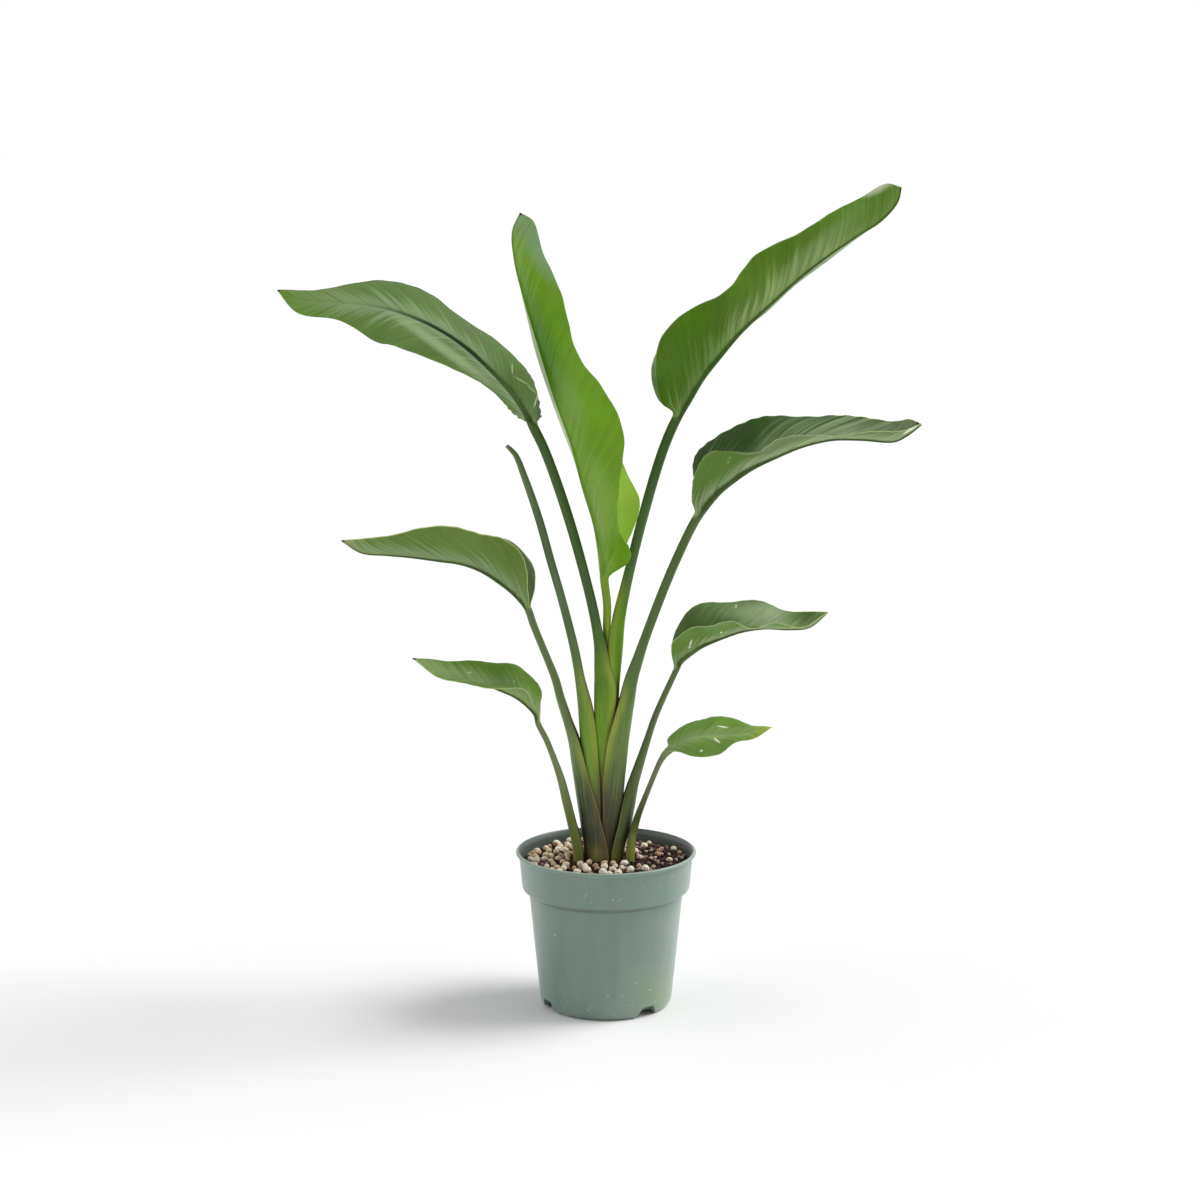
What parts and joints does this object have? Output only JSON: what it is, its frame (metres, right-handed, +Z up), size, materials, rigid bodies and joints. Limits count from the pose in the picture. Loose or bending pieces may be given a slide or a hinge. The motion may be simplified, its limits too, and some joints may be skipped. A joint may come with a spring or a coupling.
{
  "type": "potted white bird of paradise",
  "caption": "Young white bird of paradise plant in a round nursery pot: paddle-shaped leaves fan out on long petioles from nested sheaths, over a potting mix dressed with pumice.",
  "frame": {"origin": "centre of the pot's base, on the surface it stands on", "axes": "+Z up; the fan of leaves spreads along X; -Y is the side that the picture shows"},
  "size_m": [0.5427, 0.1677, 0.724],
  "materials": {
    "pot_plastic": "satin",
    "potting_mix": "matte",
    "leaf_bright": "satin",
    "leaf_deep": "satin",
    "leaf_underside": "satin",
    "leaf_green": "satin",
    "petiole": "satin"
  },
  "bodies": {
    "root": {"pot": "pot_plastic", "soil_mix": "potting_mix", "leaf_centre": "leaf_bright", "leaf_upper_right": "leaf_deep", "leaf_upper_left": "leaf_underside", "leaf_mid_right": "leaf_green", "leaf_mid_left": "leaf_green", "leaf_low_right": "leaf_green", "leaf_low_left": "leaf_green", "leaf_lowest_right": "leaf_green", "cut_petiole": "petiole"}
  },
  "joints": []
}
